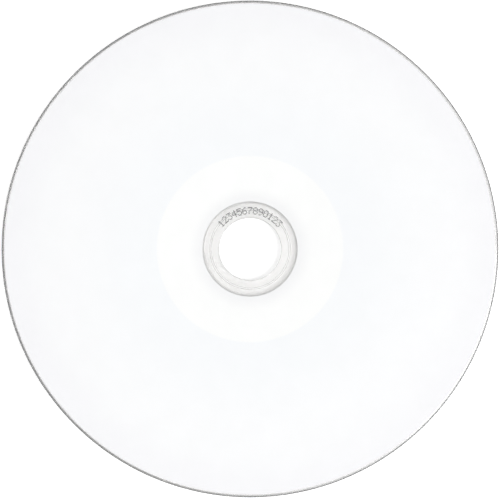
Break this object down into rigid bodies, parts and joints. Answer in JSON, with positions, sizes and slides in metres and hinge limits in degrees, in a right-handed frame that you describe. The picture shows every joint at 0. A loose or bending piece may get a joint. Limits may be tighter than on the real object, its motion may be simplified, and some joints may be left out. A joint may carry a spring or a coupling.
{
  "type": "compact disc",
  "caption": "Recordable compact disc with a white printable top, a clear moulded hub and rim, and a reflective layer sealed between.",
  "frame": {"origin": "on the disc's axis, in the plane of the stacking ring's crest, which the disc lies on", "axes": "+Z along the disc's axis, out of the printed side; -Z points out of the side that is read; +X and +Y are free, because the disc is round"},
  "size_m": [0.12, 0.12, 0.0014],
  "materials": {
    "clear_polycarbonate": "clear, polished moulding",
    "silver_film": "silver film over dye, with a fine spiral groove",
    "white_ink": "matt, finely porous white ink",
    "hub_code_ink": "matt dark dot print"
  },
  "bodies": {
    "root": {"clear_disc": "clear_polycarbonate", "reflective_layer": "silver_film", "printable_coat": "white_ink"}
  },
  "joints": []
}
